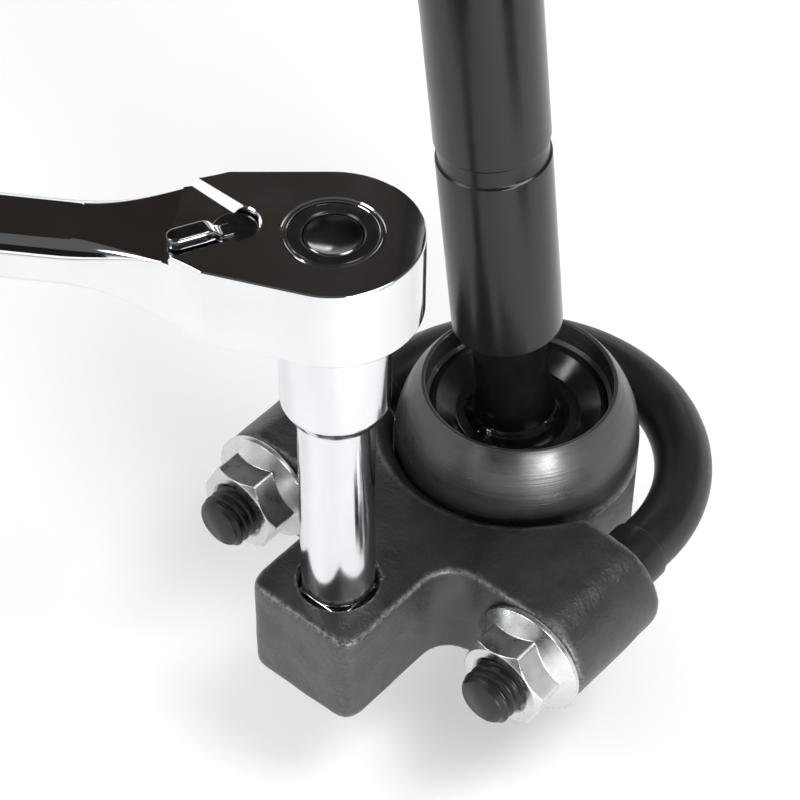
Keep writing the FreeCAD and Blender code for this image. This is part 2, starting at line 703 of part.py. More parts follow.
def tie_rod():
    groove_r = SHANK_R - GROOVE_DEEP
    groove_end = GROOVE_AT + GROOVE_WIDE
    tail_end = SHANK_HIGH + TAIL_LONG
    body = turned((0, 0), [(NECK_R, 0), (NECK_R, SHANK_LOW), (SHANK_R - SHANK_EDGE[0], SHANK_LOW),
                           (SHANK_R, SHANK_LOW + SHANK_EDGE[1]), (SHANK_R, GROOVE_AT),
                           (groove_r, GROOVE_AT + GROOVE_DEEP), (groove_r, groove_end),
                           (SHANK_R, groove_end + GROOVE_DEEP), (SHANK_R, SHANK_HIGH),
                           (TAIL_R, SHANK_HIGH + TAIL_CONE), (TAIL_R, tail_end - TAIL_CHAMFER),
                           (TAIL_R - TAIL_CHAMFER, tail_end), (0, tail_end)])
    foot_r = NECK_R + NECK_FOOT
    foot_z = math.sqrt(BALL_JOINT_R ** 2 - foot_r ** 2)
    foot_mid = (NECK_R + NECK_FOOT_MID[0], foot_z + NECK_FOOT_MID[1])
    foot_top = foot_z + NECK_FOOT_HIGH
    foot = turned((0, foot_z), [(foot_r, foot_z), (foot_mid, (NECK_R, foot_top)), (0, foot_top)])
    body = body.fuse([foot, Part.makeSphere(BALL_JOINT_R)]).removeSplitter()
    towards = math.radians(LEAN_TOWARDS)
    body.rotate(ORIGIN, V(-math.sin(towards), math.cos(towards), 0), LEAN)
    body.translate(V(0, 0, CENTRE_Z))
    return body


NODES = {
    "jaw_casting": jaw_casting,
    "u_bolt": u_bolt,
    "flange_nut_left": lambda: flange_nut(-1, NUT_TURN_LEFT),
    "flange_nut_right": lambda: flange_nut(1, NUT_TURN_RIGHT),
    "extension_bar": extension_bar,
    "extension_detent_ball": extension_detent_ball,
    "extension_detent_spring": extension_detent_spring,
    "ratchet_body": ratchet_body,
    "ratchet_cover": ratchet_cover,
    "cover_screws": cover_screws,
    "drive_gear": drive_gear,
    "button_bezel": button_bezel,
    "release_button": release_button,
    "release_spring": release_spring,
    "drive_ball": drive_ball,
    "pawl": pawl,
    "pawl_plunger": pawl_plunger,
    "pawl_spring": pawl_spring,
    "reversing_lever": reversing_lever,
    "socket_housing": socket_housing,
    "ball_race": ball_race,
    "ball_seat": ball_seat,
    "preload_spring": preload_spring,
    "tie_rod": tie_rod,
}

for name, make in NODES.items():
    made = make()
    save(name, made)
    print(name, made.isValid(), round(made.Volume, 1), len(made.Solids))
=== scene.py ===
import json
import math

import bmesh
import bpy
from mathutils import Matrix, Vector, noise


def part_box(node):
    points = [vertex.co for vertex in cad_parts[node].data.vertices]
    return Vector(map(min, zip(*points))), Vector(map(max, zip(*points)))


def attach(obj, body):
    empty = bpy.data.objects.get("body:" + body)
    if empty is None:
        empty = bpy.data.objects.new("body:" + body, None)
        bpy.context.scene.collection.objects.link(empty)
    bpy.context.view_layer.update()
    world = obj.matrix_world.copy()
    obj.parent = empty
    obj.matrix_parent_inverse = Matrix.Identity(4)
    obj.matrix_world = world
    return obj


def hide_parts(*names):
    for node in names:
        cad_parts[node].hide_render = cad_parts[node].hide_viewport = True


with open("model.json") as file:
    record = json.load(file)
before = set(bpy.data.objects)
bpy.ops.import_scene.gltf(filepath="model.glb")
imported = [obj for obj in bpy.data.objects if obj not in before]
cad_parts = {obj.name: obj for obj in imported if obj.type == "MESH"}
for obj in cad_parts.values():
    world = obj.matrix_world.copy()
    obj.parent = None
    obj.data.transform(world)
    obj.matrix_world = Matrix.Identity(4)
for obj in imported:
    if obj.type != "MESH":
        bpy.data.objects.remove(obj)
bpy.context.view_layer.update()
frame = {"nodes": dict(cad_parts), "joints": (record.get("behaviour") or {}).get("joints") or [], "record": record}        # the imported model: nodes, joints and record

NODES = frame["nodes"]
MM = 0.001
TURN = 2 * math.pi


# ---- places, all read from the frame, in metres -------------------------------------------------
def middle(node):
    low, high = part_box(node)
    return (Vector(low) + Vector(high)) / 2


def mount(name):
    return next(m for m in frame["record"]["mounts"] if m["name"] == name)


def joint(name):
    return next(j for j in frame["joints"] if j["name"] == name)


DRIVE = middle("drive_gear")              # the drive axis
HEAD_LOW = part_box("ratchet_body")[0][2]
HEAD_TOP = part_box("ratchet_body")[1][2]
HEAD_MID = (HEAD_LOW + HEAD_TOP) / 2
LEG_Z = middle("u_bolt").z
LEG_X = middle("flange_nut_right").x
NUT_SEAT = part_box("flange_nut_right")[1][1]
THREAD_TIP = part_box("u_bolt")[0][1]
BALL = Vector(joint("rod_tilt")["pos_m"])
ROD_DIRECTION = Vector(mount("rod_end")["axis"])
STUD_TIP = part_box("socket_housing")[0][2]
LEVER = Vector(joint("lever_turn")["pos_m"])
HANDLE_AIM = math.atan2(LEVER.y - DRIVE.y, LEVER.x - DRIVE.x)
LEVER_TURN = math.radians(31.0)           # the lever's tab from the handle's line


def upright(x, y, z):
    return Matrix.Translation((x, y, z))


def nut_place(side):
    """Local +Z runs out of the jaw along the bolt's leg, from the nut's seat."""
    return Matrix.Translation((side * LEG_X, NUT_SEAT, LEG_Z)) @ Matrix.Rotation(math.pi / 2, 4, "X")


ROD_PLACE = (Matrix.Translation(BALL)
             @ Vector((0, 0, 1)).rotation_difference(ROD_DIRECTION).to_matrix().to_4x4())
HEAD_PLACE = Matrix.Translation((DRIVE.x, DRIVE.y, HEAD_MID)) @ Matrix.Rotation(HANDLE_AIM, 4, "Z")
LEVER_PLACE = (Matrix.Translation((LEVER.x, LEVER.y, HEAD_MID))
               @ Matrix.Rotation(HANDLE_AIM + LEVER_TURN, 4, "Z"))


# ---- mesh helpers -------------------------------------------------------------------------------
EDGE_SHARE = 0.49          # the most of an edge that a rounded corner takes up
NORMAL_WEIGHT = 80


def soften(points, closed=False, bits=5):
    """An outline in mm as points in metres.  A third value in a point is the radius of its corner."""
    flat = [Vector(p[:2]) for p in points]
    count = len(points)
    out = []
    for i, p in enumerate(points):
        here = flat[i]
        if len(p) < 3 or (not closed and i in (0, count - 1)):
            out.append(here)
            continue
        back, on = flat[i - 1] - here, flat[(i + 1) % count] - here
        half = back.angle(on) / 2
        reach = min(p[2] / math.tan(half), EDGE_SHARE * back.length, EDGE_SHARE * on.length)
        centre = here + (back.normalized() + on.normalized()).normalized() * reach / math.cos(half)
        start, stop = here + back.normalized() * reach - centre, here + on.normalized() * reach - centre
        out += [centre + start.slerp(stop, k / bits) * start.length for k in range(bits + 1)]
    return [(q.x * MM, q.y * MM) for q in out]


def build(name, verts, faces, place=None, sharp=35.0, caps=False):
    """A mesh object in the scene, its normals outward, smooth but for edges over a number of degrees."""
    mesh = bpy.data.meshes.new(name)
    mesh.from_pydata([tuple(v) for v in verts], [], faces)
    if place is not None:
        mesh.transform(place)
    piece = bpy.data.objects.new(name, mesh)
    bpy.context.scene.collection.objects.link(piece)
    tidy(piece, sharp, caps=caps)
    return piece


def tidy(piece, sharp=35.0, merge=2e-6, caps=False):
    """Joins what touches, closes open ends if asked, and shades the piece."""
    work = bmesh.new()
    work.from_mesh(piece.data)
    bmesh.ops.remove_doubles(work, verts=work.verts, dist=merge)
    bmesh.ops.dissolve_degenerate(work, edges=work.edges, dist=merge / 2)
    if caps:
        bmesh.ops.holes_fill(work, edges=[e for e in work.edges if e.is_boundary], sides=0)
    bmesh.ops.recalc_face_normals(work, faces=work.faces)
    work.to_mesh(piece.data)
    work.free()
    piece.data.shade_smooth()
    piece.data.set_sharp_from_angle(angle=math.radians(sharp))


def ring_faces(rows, columns, wrap_rows=False):
    """Quads of a grid that is closed round its columns."""
    faces = []
    for i in range(rows if wrap_rows else rows - 1):
        for j in range(columns):
            k = (j + 1) % columns
            n = (i + 1) % rows
            faces.append((i * columns + j, i * columns + k, n * columns + k, n * columns + j))
    return faces


def lathe(name, points, place, steps=144, closed=False, sharp=35.0, angles=None):
    """A turned piece about local +Z, from (radius, height) points in mm, or from a function of the angle."""
    angles = angles or [TURN * j / steps for j in range(steps)]
    columns = [soften(points(a) if callable(points) else points, closed) for a in angles]
    rows = len(columns[0])
    verts = []
    for i in range(rows):
        for a, column in zip(angles, columns):
            r, z = column[i]
            verts.append((max(r, 0.0) * math.cos(a), max(r, 0.0) * math.sin(a), z))
    faces = ring_faces(rows, len(angles), closed)
    return build(name, verts, faces, place, sharp)


def prism(name, low_corners, high_corners, low, high, place):
    """A block between two outlines of as many corners, in mm."""
    verts = [(x * MM, y * MM, low * MM) for x, y in low_corners]
    verts += [(x * MM, y * MM, high * MM) for x, y in high_corners]
    n = len(low_corners)
    faces = [tuple(range(n))[::-1], tuple(range(n, 2 * n))]
    faces += [(i, (i + 1) % n, n + (i + 1) % n, n + i) for i in range(n)]
    return build(name, verts, faces, place, 20)


def arc_through(start, via, stop, bits):
    """Points in mm on the circle through three points, without the first one."""
    (ax, ay), (bx, by), (cx, cy) = start, via, stop
    twice = 2 * (ax * (by - cy) + bx * (cy - ay) + cx * (ay - by))
    aa, bb, cc = ax * ax + ay * ay, bx * bx + by * by, cx * cx + cy * cy
    ox = (aa * (by - cy) + bb * (cy - ay) + cc * (ay - by)) / twice
    oy = (aa * (cx - bx) + bb * (ax - cx) + cc * (bx - ax)) / twice
    first = math.atan2(ay - oy, ax - ox)
    turn = (math.atan2(cy - oy, cx - ox) - first) % TURN
    if (math.atan2(by - oy, bx - ox) - first) % TURN > turn:
        turn -= TURN
    r = math.hypot(ax - ox, ay - oy)
    return [(ox + r * math.cos(first + turn * k / bits), oy + r * math.sin(first + turn * k / bits))
            for k in range(1, bits + 1)]


def join(piece, other):
    """Adds another piece's mesh to this one's."""
    work = bmesh.new()
    work.from_mesh(piece.data)
    work.from_mesh(other.data)
    work.to_mesh(piece.data)
    work.free()
    bpy.data.objects.remove(other)


def roughen(piece, layers):
    """Moves each point along its normal by noise, from (size, depth) layers in metres and mm."""
    normals = [v.normal.copy() for v in piece.data.vertices]
    for vertex, out in zip(piece.data.vertices, normals):
        push = sum(noise.noise(vertex.co / size) * depth for size, depth in layers)
        vertex.co += out * push * MM


def finished(piece, body, nodes, materials, weighted=False):
    """Gives a piece its finish and its body, and hides the CAD nodes that it stands for."""
    for material in materials:
        piece.data.materials.append(material)
    if weighted:
        step = piece.modifiers.new("weighted", "WEIGHTED_NORMAL")
        step.keep_sharp = True
        step.weight = NORMAL_WEIGHT
    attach(piece, body)
    if nodes:
        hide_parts(*nodes)
    return piece


def carve(piece, tools, sharp=30.0):
    """Cuts the tools out of a piece, one after another, and removes them."""
    for tool in tools:
        step = piece.modifiers.new("cut", "BOOLEAN")
        step.operation = "DIFFERENCE"
        step.solver = "EXACT"
        step.object = tool
        apply_modifiers(piece)
        bpy.data.objects.remove(tool)
    tidy(piece, sharp, 1e-6)
    return piece


def apply_modifiers(piece):
    graph = bpy.context.evaluated_depsgraph_get()
    graph.update()
    made = bpy.data.meshes.new_from_object(piece.evaluated_get(graph))
    piece.modifiers.clear()
    piece.data = made


def bevel(piece, width, segments):
    step = piece.modifiers.new("bevel", "BEVEL")
    step.width = width * MM
    step.segments = segments
    step.limit_method = "ANGLE"
    step.angle_limit = math.radians(35.0)
    apply_modifiers(piece)
    tidy(piece, 40)
    return piece


PITCH = 25.4 / 13          # the half-inch thread
BOLT_R = 6.35
THREAD_FORM = [(0.0, 0.0), (0.08, 0.0), (0.16, 0.18), (0.36, 0.84), (0.44, 1.0), (0.56, 1.0), (0.64, 0.84),
               (0.84, 0.18), (0.92, 0.0)]          # (share of a turn, share of the depth)


def thread(name, place, low, high, radius, pitch, depth, low_cut=0.0, high_cut=0.0, inside=False):
    """A right-hand screw thread along local +Z, in mm, with its ends chamfered by the cuts."""
    bits, steps = len(THREAD_FORM), 64
    turns = int((high - low) / pitch) + 3
    rows = bits * turns

    def limit(z):
        cut = 0.0
        if z - low < low_cut:
            cut = low_cut - (z - low)
        if high - z < high_cut:
            cut = max(cut, high_cut - (high - z))
        return cut

    verts = []
    for i in range(rows):
        for j in range(steps):
            turn, bit = divmod(i, bits)
            z = (turn - 1.5 + THREAD_FORM[bit][0] + j / steps) * pitch + low
            z = min(max(z, low), high)
            sink = max(THREAD_FORM[bit][1] * depth, 0.0)
            r = radius - max(sink, limit(z)) if not inside else radius - depth + min(sink, depth)
            if not inside and (z <= low or z >= high):
                r = radius - max(limit(z), 0.0)
            a = TURN * j / steps
            verts.append((r * MM * math.cos(a), r * MM * math.sin(a), z * MM))
    faces = []
    for i in range(rows - 1):
        for j in range(steps):
            if j < steps - 1:
                near, far = i * steps + j, (i + 1) * steps + j
                faces.append((near, near + 1, far + 1, far))
            elif i + 1 + bits < rows:
                faces.append((i * steps + j, (i + bits) * steps, (i + bits + 1) * steps, (i + 1) * steps + j))
    return build(name, verts, faces, place, 50, caps=not inside)


# ---- the clamp ----------------------------------------------------------------------------------
BOSS_R = 13.2
ROD_R = 6.6
COLLAR_R = 7.3
JAW_R = 28.0
NOSE_HALF = 14.3
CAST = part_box("jaw_casting")
NOSE_FRONT = CAST[0].y / MM
ARM_BACK = CAST[1].y / MM
ARM_FRONT = NUT_SEAT / MM
LEG = LEG_X / MM
CAST_VOXEL = 0.55
CAST_SMOOTHING = 34        # passes
CAST_SKIN = [(0.0065, 0.16), (0.0021, 0.03)]       # (size in metres, depth in mm)
RECESS_R = 8.7
LEG_BORE_R = 6.9
LEG_END = -16.2            # where the bar steps down to the thread
COLLAR_ENDS = (-12.1, -3.0)
SQUARE_HOLE = 12.9
SQUARE_MALE = 12.68


def jaw_casting():
    """A sand casting: its form is rounded as a whole, and the holes are cut sharply afterwards."""
    jaw_x = math.sqrt(JAW_R ** 2 - ARM_BACK ** 2)
    half = math.asin(jaw_x / JAW_R)
    turns = [half - half * k / 20 for k in range(41)]
    jaw = [(JAW_R * math.sin(a), -JAW_R * math.cos(a)) for a in turns]
    corners = [(NOSE_HALF, NOSE_FRONT, 4.0), (NOSE_HALF, ARM_FRONT, 7.5), (LEG, ARM_FRONT), (LEG, ARM_BACK)]
    mirrored = [(-c[0],) + c[1:] for c in reversed(corners)]
    outline = [(x / MM, y / MM) for x, y in soften(corners + jaw + mirrored, True, 8)]
    low, high = LEG_Z / MM - BOSS_R, LEG_Z / MM + BOSS_R
    form = prism("jaw_casting_form", outline, outline, low, high, None)
    inside = JAW_R - 3
    lead = lathe("lead", [(inside, high - 4.6), (JAW_R, high - 4.2), (JAW_R + 4.4, high + 0.3),
                          (inside, high + 3)], None, closed=True)
    foot = lathe("foot", [(inside, low - 3), (JAW_R + 2.6, low - 0.3), (JAW_R, low + 2.4),
                          (inside, low + 2.8)], None, closed=True)
    carve(form, [lead, foot])
    length = ARM_BACK - ARM_FRONT
    for side in (-1, 1):
        boss = lathe("boss", [(0, -length), (BOSS_R, -length, 1.2), (BOSS_R, 0, 1.2), (0, 0)],
                     nut_place(side), 96)
        jaw_room = lathe("jaw_room", [(0, low - 2), (JAW_R, low - 2), (JAW_R, high + 2), (0, high + 2)],
                         None, 180)
        join(form, carve(boss, [jaw_room]))
    remesh = form.modifiers.new("remesh", "REMESH")
    remesh.mode = "VOXEL"
    remesh.voxel_size = CAST_VOXEL * MM
    smooth = form.modifiers.new("smooth", "SMOOTH")
    smooth.factor = 0.5
    smooth.iterations = CAST_SMOOTHING
    apply_modifiers(form)
    roughen(form, CAST_SKIN)
    top = CAST[1].z / MM
    drive = upright(0, DRIVE.y, 0)
    tools = [lathe("recess", [(0, top - 5), (RECESS_R, top - 5, 0.4), (RECESS_R, top - 0.6), (9.3, top + 0.2),
                              (9.3, top + 3), (0, top + 3)], drive, 96),
             prism("square", square(SQUARE_HOLE), square(SQUARE_HOLE), low - 2, high, drive)]
    for side in (-1, 1):
        tools.append(lathe("bore", [(0, -length - 4), (7.3, -length - 4), (7.3, -length),
                                    (LEG_BORE_R, -length + 0.4), (LEG_BORE_R, -0.4), (7.3, 0), (7.3, 4),
                                    (0, 4)], nut_place(side), 96))
    carve(form, tools, sharp=38)
    form.name = "jaw_casting_shape"
    return finished(form, "clamp", ["jaw_casting"], [cast_iron()])


def u_bolt():
    """One round bar: two legs and a half circle, with a collar on each leg where it meets the casting."""
    arc_y = 1.0
    far, near = COLLAR_ENDS
    leg = soften([(LEG_END, 0), (LEG_END, 5.3), (-14.6, ROD_R, 0.6), (far, ROD_R), (far, COLLAR_R, 0.35),
                  (near, COLLAR_R, 0.8), (near, ROD_R), (-1.0, ROD_R), (arc_y, ROD_R)], bits=6)
    stations = [(Vector((-LEG_X, y, LEG_Z)), Vector((-1, 0, 0)), r) for y, r in leg]
    bits = 96
    for k in range(1, bits):
        out = Vector((-math.cos(math.pi * k / bits), math.sin(math.pi * k / bits), 0))
        stations.append((Vector((0, arc_y * MM, LEG_Z)) + out * LEG_X, out, ROD_R * MM))
    stations += [(Vector((LEG_X, y, LEG_Z)), Vector((1, 0, 0)), r) for y, r in reversed(leg)]
    steps = 72
    verts = []
    for centre, out, radius in stations:
        for j in range(steps):
            a = TURN * j / steps
            verts.append(centre + (out * math.cos(a) + Vector((0, 0, math.sin(a)))) * radius)
    bar = build("u_bolt_bar", verts, ring_faces(len(stations), steps))
    black = black_oxide()
    finished(bar, "bolt", ["u_bolt"], [black])
    low = (NUT_SEAT / MM) + 13.6
    high = (NUT_SEAT - THREAD_TIP) / MM
    for side, word in ((-1, "left"), (1, "right")):
        screw = thread("u_bolt_thread_" + word, nut_place(side), low, high, BOLT_R, PITCH, 1.05, 0.5, 1.15)
        finished(screw, "bolt", ["u_bolt"], [black])


NUT_FLATS = 19.05
NUT_HIGH = 10.7
NUT_FLANGE_R = 13.4
NUT_BORE_R = 6.9


def flange_nut(side, word, turn):
    """A hexagon on a conical flange.  Each angle has its own outline, so the edges run true."""
    flats, height, flange_r = NUT_FLATS, NUT_HIGH, NUT_FLANGE_R
    corner = flats / math.sqrt(3)
    cap = corner * 0.982
    rim, root_r, root = 1.5, corner - 1.2, 4.4
    crown = height - 2.2

    def outline(angle):
        off = (angle - math.radians(turn)) % (TURN / 6) - TURN / 12
        r = min(flats / 2 / math.cos(off), cap)
        foot = rim + (flange_r - r) / (flange_r - root_r) * (root - rim)
        top = crown + (corner + 1 - r) / 2.6 * 2.2
        return [(NUT_BORE_R, 0.0), (flange_r - 0.3, 0.0, 0.3), (flange_r, 0.5, 0.3), (flange_r, rim, 0.35),
                (r, foot, 0.45), (r, top, 0.35), (corner - 1.6, height, 0.35), (7.3, height, 0.2),
                (6.2, height - 0.9)]

    angles = []
    for i in range(6):
        for k in range(-14, 14):
            share = abs(k / 14) ** 1.5 * (1 if k >= 0 else -1)
            angles.append(math.radians(turn + 60 * i + 30 * share))
    node, zinc = "flange_nut_" + word, zinc_plate()
    body = lathe(node + "_body", outline, nut_place(side), angles=sorted(angles), sharp=28)
    finished(body, "nut_" + word, [node], [zinc])
    inner = thread(node + "_thread", nut_place(side), 0.1, height - 0.9, NUT_BORE_R, PITCH, 0.7, inside=True)
    finished(inner, "nut_" + word, [node], [zinc])


# ---- the extension bar --------------------------------------------------------------------------
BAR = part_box("extension_bar")
BAR_TOP = BAR[1].z / MM
BAR_TIP = BAR[0].z / MM
BAR_LOW = BAR_TIP + 12.0
BAR_R = 7.9
BAR_SOCKET_R = 11.1
CONE_UP = 66.2             # the cone above the jaw's middle
POCKET_R = 2.05            # of the detent ball


def square(size):
    return [(size / 2 * x, size / 2 * y) for x, y in ((1, 1), (-1, 1), (-1, -1), (1, -1))]


def extension_bar():
    place = upright(0, DRIVE.y, 0)
    cone = LEG_Z / MM + CONE_UP
    outline = [(0, BAR_LOW - 0.6), (5.6, BAR_LOW - 0.6, 0.6), (BAR_R, BAR_LOW + 2.9, 2.6), (BAR_R, cone, 0.5),
               (9.5, cone, 0.9), (BAR_SOCKET_R, cone + 3.3, 2.2), (BAR_SOCKET_R, BAR_TOP - 0.02, 0.55),
               (10.2, BAR_TOP), (0, BAR_TOP)]
    bar = lathe("extension_bar_body", outline, place, 160)
    hole = square(SQUARE_HOLE)
    mouth = prism("mouth", hole, hole, BAR_TOP - 13, BAR_TOP + 1, place)
    lead = prism("lead", hole, square(15.3), BAR_TOP - 0.7, BAR_TOP + 0.5, place)
    carve(bar, [mouth, lead])
    chrome = satin_chrome()
    finished(bar, "extension", ["extension_bar"], [chrome])
    male = prism("extension_square", square(SQUARE_MALE), square(SQUARE_MALE), BAR_TIP, BAR_LOW, place)
    bevel(male, 0.7, 3)
    sideways = upright(0, DRIVE.y, (BAR_LOW - 6.5) * MM) @ Matrix.Rotation(math.pi / 2, 4, "Y")
    pocket = lathe("pocket", [(0, -1), (POCKET_R, -1), (POCKET_R, 9), (0, 9)], sideways, 40)
    carve(male, [pocket])
    finished(male, "extension", ["extension_bar"], [chrome])


# ---- the ratchet --------------------------------------------------------------------------------
TOP = (HEAD_TOP - HEAD_LOW) / MM / 2
FLOOR = TOP - 2.0
HEAD_R = 17.4
CORNER = (22.3, 14.2)
NECK_S = 46.0
HANDLE_HALF = 8.2
HANDLE_DEEP = 5.8
TAIL_S = 232.0
LEVER_S = math.hypot(LEVER.x - DRIVE.x, LEVER.y - DRIVE.y) / MM
TAIL_ROUND = 14.0
TAIL_WIDER = 1.6
JOURNAL_R = 9.55
GEAR_ROOM_R = 11.6
GEAR_ROOM_TOP = 6.4
LEVER_POCKET_R = 4.8
STEM_BORE_R = 3.45
STEM_R = 3.4
BEZEL_R = 8.58
BUTTON_R = 5.7
BUTTON_PIN_R = 1.5
BUTTON_FLANGE = (7.0, 4.6, 6.6)          # radius, underside and top


def smooth_step(value, low, high):
    t = min(max((value - low) / (high - low), 0.0), 1.0)
    return t * t * (3 - 2 * t)


def ratchet_side():
    """Half of the ratchet in plan, from the middle of its nose to the middle of its tail, in mm."""
    angle = math.atan2(CORNER[1], CORNER[0]) + math.acos(HEAD_R / math.hypot(*CORNER))
    side = []
    for k in range(49):
        a = math.pi - (math.pi - angle) * k / 48
        side.append((HEAD_R * math.cos(a), HEAD_R * math.sin(a)))
    start = side[-1]
    for k in range(1, 12):
        side.append(tuple(start[i] + (CORNER[i] - start[i]) * k / 12 for i in (0, 1)))
    side.append(CORNER + (1.3,))
    for k in range(1, 27):
        t = k / 26
        side.append((CORNER[0] + (NECK_S - CORNER[0]) * t,
                     HANDLE_HALF + (CORNER[1] - HANDLE_HALF) * (1 - t) ** 2.25))
    tail = TAIL_S - TAIL_ROUND
    wide = HANDLE_HALF + TAIL_WIDER
    for k in range(1, 41):
        t = k / 40
        side.append((NECK_S + (tail - NECK_S) * t, HANDLE_HALF + TAIL_WIDER * smooth_step(t, 0, 1.0)))
    for k in range(1, 19):
        a = math.pi / 2 * k / 18
        side.append((tail + TAIL_ROUND * math.sin(a), wide * math.cos(a)))
    return [(x / MM, y / MM) for x, y in soften(side, bits=4)]


def ratchet_heights(s):
    """Top, bottom and the radii of the upper and lower edges, at a distance along the handle."""
    if s < 29.95:
        top = TOP
    else:
        top = HANDLE_DEEP + (FLOOR - HANDLE_DEEP) * max(1 - (s - 30) / 18, 0) ** 2
    low = -TOP + (TOP - HANDLE_DEEP) * smooth_step(s, CORNER[0] - 1, CORNER[0] + 28)
    taper = math.sqrt(1 - min(max((s - TAIL_S + 12) / 13, 0), 0.97) ** 2)
    upper = 0.42 + 3.9 * smooth_step(s, 29, 52)
    lower = 0.5 + 3.8 * smooth_step(s, 24, 52)
    return top * taper, low * taper, upper * taper, lower * taper


def ratchet_loft():
    side = [Vector(p) for p in ratchet_side()]
    bits = 8
    verts = []
    for i, here in enumerate(side):
        back = side[i - 1] if i else Vector((side[1].x, -side[1].y))
        on = side[i + 1] if i + 1 < len(side) else Vector((side[-2].x, -side[-2].y))
        along = (on - back).normalized()
        out = Vector((-along.y, along.x))
        top, low, upper, lower = ratchet_heights(here.x)
        profile = []
        for k in range(bits + 1):
            a = math.pi / 2 * k / bits
            profile.append((upper * (1 - math.sin(a)), top - upper * (1 - math.cos(a))))
        for k in range(bits + 1):
            a = math.pi / 2 * k / bits
            profile.append((lower * (1 - math.cos(a)), low + lower * (1 - math.sin(a))))
        half = [(here - out * inset, z) for inset, z in profile]
        verts += [(p.x * MM, p.y * MM, z * MM) for p, z in half]
        verts += [(p.x * MM, -p.y * MM, z * MM) for p, z in reversed(half)]
    return build("ratchet_shell", verts, ring_faces(len(side), 4 * (bits + 1)), HEAD_PLACE, 30)


def notch_tool():
    """The V in the head's top that the lever lies in.  Its walls slope, and it opens into the pocket."""
    slope, far = 0.69, 44.0
    apex, blunt = 12.8, 15.8

    def line(s, start, height, rise):
        return height + (s - start) * rise

    floor = [(blunt, (blunt - apex) * slope), (far, (far - apex) * slope)]
    near = [(blunt, line(blunt, LEVER_S, 4.7, 0.645)), (far, line(far, LEVER_S, 4.7, 0.645))]
    back = [(blunt, line(blunt, LEVER_S, 5.4, 0.638)), (far, line(far, LEVER_S, 5.4, 0.638))]
    low = floor + [(s, -y) for s, y in reversed(floor)]
    high = near + [(s, -y) for s, y in reversed(back)]
    return prism("notch", low, high, FLOOR, TOP + 0.02, HEAD_PLACE)


def ratchet_body():
    shell = ratchet_loft()
    lever = HEAD_PLACE @ Matrix.Translation((LEVER_S * MM, 0, 0))
    tools = [
        notch_tool(),
        lathe("lever_pocket", [(0, FLOOR - 2.4), (LEVER_POCKET_R, FLOOR - 2.4), (LEVER_POCKET_R, TOP - 0.25),
                               (5.15, TOP + 0.1), (5.15, TOP + 2), (0, TOP + 2)], lever, 96),
        lathe("stem_bore", [(0, -TOP), (STEM_BORE_R, -TOP), (STEM_BORE_R, FLOOR - 2), (0, FLOOR - 2)],
              lever, 64),
        lathe("journal", [(0, 0), (JOURNAL_R, 0), (JOURNAL_R, TOP - 0.3), (9.95, TOP + 0.1), (9.95, TOP + 2),
                          (0, TOP + 2)], HEAD_PLACE, 144),
        lathe("gear_room", [(0, -TOP - 2), (GEAR_ROOM_R, -TOP - 2), (GEAR_ROOM_R, GEAR_ROOM_TOP),
                            (0, GEAR_ROOM_TOP)], HEAD_PLACE, 120),
    ]
    pawl = [(5, -8.2), (14.6, -8.2)] + arc_through((14.6, -8.2), (21.9, 0), (14.6, 8.2), 20) + [(5, 8.2)]
    tools.append(prism("pawl_room", pawl, pawl, -TOP - 2, 3.6, HEAD_PLACE))
    cover = cover_outline()
    tools.append(prism("cover_room", cover, cover, -TOP - 2, -TOP + 2.2, HEAD_PLACE))
    panel = [(48.5, 5.2, 0.8), (205, 6.2, 3), (205, -6.2, 3), (48.5, -5.2, 0.8)]
    panel = [(x / MM, y / MM) for x, y in soften(panel, True)]
    wider = [(x + (0.35 if x > 100 else -0.35), y * 1.06) for x, y in panel]
    tools.append(prism("panel", panel, wider, HANDLE_DEEP - 0.45, HANDLE_DEEP + 0.5, HEAD_PLACE))
    carve(shell, tools, sharp=24)
    return finished(shell, "ratchet", ["ratchet_body"], [bright_chrome()], weighted=True)


def cover_outline():
    """Half round at the nose, with two ears at the lever's end."""
    back, side = 16.2, 15.7
    nose = [(-back * math.sin(math.pi * k / 40), side * math.cos(math.pi * k / 40)) for k in range(41)]
    ears = [(20.4, -12.4), (22.8, -10.8), (23.4, -9.0), (23.4, 9.0), (22.8, 10.8), (20.4, 12.4)]
    return nose + ears


def journal_rim():
    rim = lathe("journal_rim", [(8.66, TOP - 1.6), (9.46, TOP - 1.6), (9.46, TOP - 0.2), (9.3, TOP - 0.02),
                                (8.8, TOP - 0.02), (8.66, TOP - 0.16)], HEAD_PLACE, 144, closed=True,
                sharp=20)
    return finished(rim, "drive", [], [bright_chrome()])


def button_bezel():
    ring = lathe("button_bezel_ring", [(5.78, 6.7), (6.9, 6.7), (6.9, TOP - 1.85), (BEZEL_R, TOP - 1.85),
                                       (BEZEL_R, TOP - 0.42, 0.15), (8.3, TOP - 0.22, 0.2),
                                       (6.3, TOP - 0.14, 0.3), (5.85, TOP - 0.5, 0.15)],
                 HEAD_PLACE, 144, closed=True)
    return finished(ring, "drive", ["button_bezel"], [moulded_black()])


def release_button():
    rim = TOP - 0.5
    dish = [(5.0 * (1 - k / 12), rim - 0.1 - 0.62 * (1 - (1 - k / 12) ** 2)) for k in range(13)]
    pin_low = -TOP - 7.4
    wide, low, high = BUTTON_FLANGE
    outline = [(0, pin_low), (BUTTON_PIN_R, pin_low), (BUTTON_PIN_R, low), (wide, low), (wide, high),
               (BUTTON_R, high), (BUTTON_R, rim - 0.25, 0.2), (5.35, rim, 0.2)] + dish
    cap = lathe("release_button_cap", outline, HEAD_PLACE, 128)
    return finished(cap, "button", ["release_button"], [dark_chrome("dished_button")])


